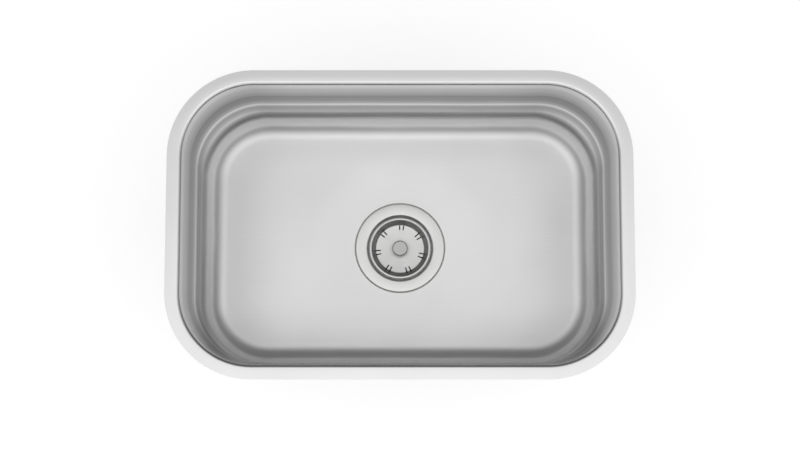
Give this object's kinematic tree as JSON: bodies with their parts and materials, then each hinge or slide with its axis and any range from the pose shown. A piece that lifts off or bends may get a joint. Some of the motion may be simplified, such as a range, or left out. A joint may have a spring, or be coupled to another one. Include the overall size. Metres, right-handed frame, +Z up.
{
  "type": "undermount kitchen sink",
  "caption": "Single rectangular undermount kitchen sink in satin steel with rounded corners, a basket strainer with knob and stopper, and a drain tailpiece below.",
  "frame": {"origin": "middle of the rim's top face, in the plane that meets the underside of the worktop", "axes": "+X to the right along the long side, +Y to the back, +Z up out of the bowl"},
  "size_m": [0.53, 0.352, 0.3412],
  "materials": {
    "satin_steel": "satin, fine straight brushing",
    "polished_steel": "polished",
    "knob_steel": "satin",
    "pad_rubber": "matt",
    "black_rubber": "matt",
    "putty": "matt",
    "fibre": "matt",
    "cast_brass": "as cast",
    "nylon": "matt",
    "plated_brass": "bright plating"
  },
  "bodies": {
    "sink": {"bowl": "satin_steel", "floor_pad_left": "pad_rubber", "floor_pad_right": "pad_rubber", "wall_pad_front": "pad_rubber", "wall_pad_back": "pad_rubber", "wall_pad_left": "pad_rubber", "wall_pad_right": "pad_rubber", "strainer_body": "polished_steel", "flange_seal": "putty", "sink_gasket": "black_rubber", "friction_ring": "fibre", "locknut": "cast_brass", "centre_socket": "nylon", "tail_washer": "nylon", "coupling_nut": "plated_brass", "tailpiece": "plated_brass"},
    "basket": {"basket_cup": "polished_steel"},
    "stopper": {"basket_post": "polished_steel", "basket_knob": "knob_steel", "basket_stopper": "black_rubber", "stopper_washer": "polished_steel", "post_nut": "polished_steel"}
  },
  "joints": [
    {"name": "basket_lift", "type": "slide", "parent": "sink", "child": "basket", "axis": [0, 0, 1], "range_m": [0, 0.26]},
    {"name": "stopper_pull", "type": "slide", "parent": "basket", "child": "stopper", "axis": [0, 0, 1], "range_m": [0, 0.008]}
  ]
}
